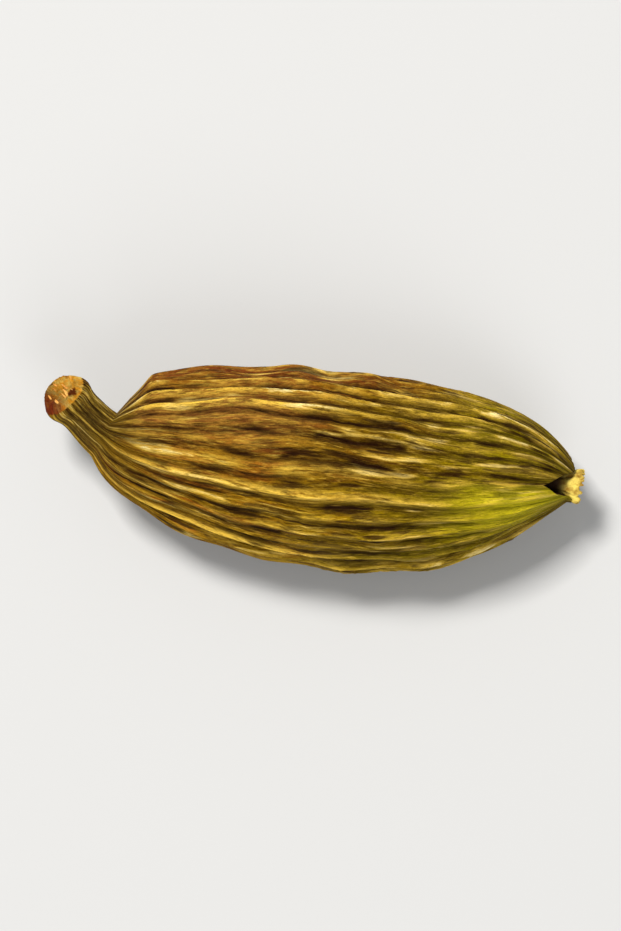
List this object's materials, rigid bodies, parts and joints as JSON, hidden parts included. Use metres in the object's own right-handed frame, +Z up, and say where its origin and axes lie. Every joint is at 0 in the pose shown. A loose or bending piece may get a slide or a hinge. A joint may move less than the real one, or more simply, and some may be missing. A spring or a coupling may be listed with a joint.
{
  "type": "green cardamom pod",
  "caption": "Dried green cardamom pod: a ribbed, bluntly triangular husk with a short bent stalk at one end and a pointed, split tip round a dry nub at the other.",
  "frame": {"origin": "middle of the small flat spot on the underside, on which the pod rests", "axes": "+X runs along the pod to its tip and -X to its stalk, +Z is up, and +Y is the side that the stalk bends to"},
  "size_m": [0.0202, 0.0075, 0.0066],
  "materials": {
    "husk": "dry olive-green fibrous husk, satin, with tan shoulders and a pale straw-coloured cut stalk"
  },
  "bodies": {
    "root": {"pod": "husk"}
  },
  "joints": []
}
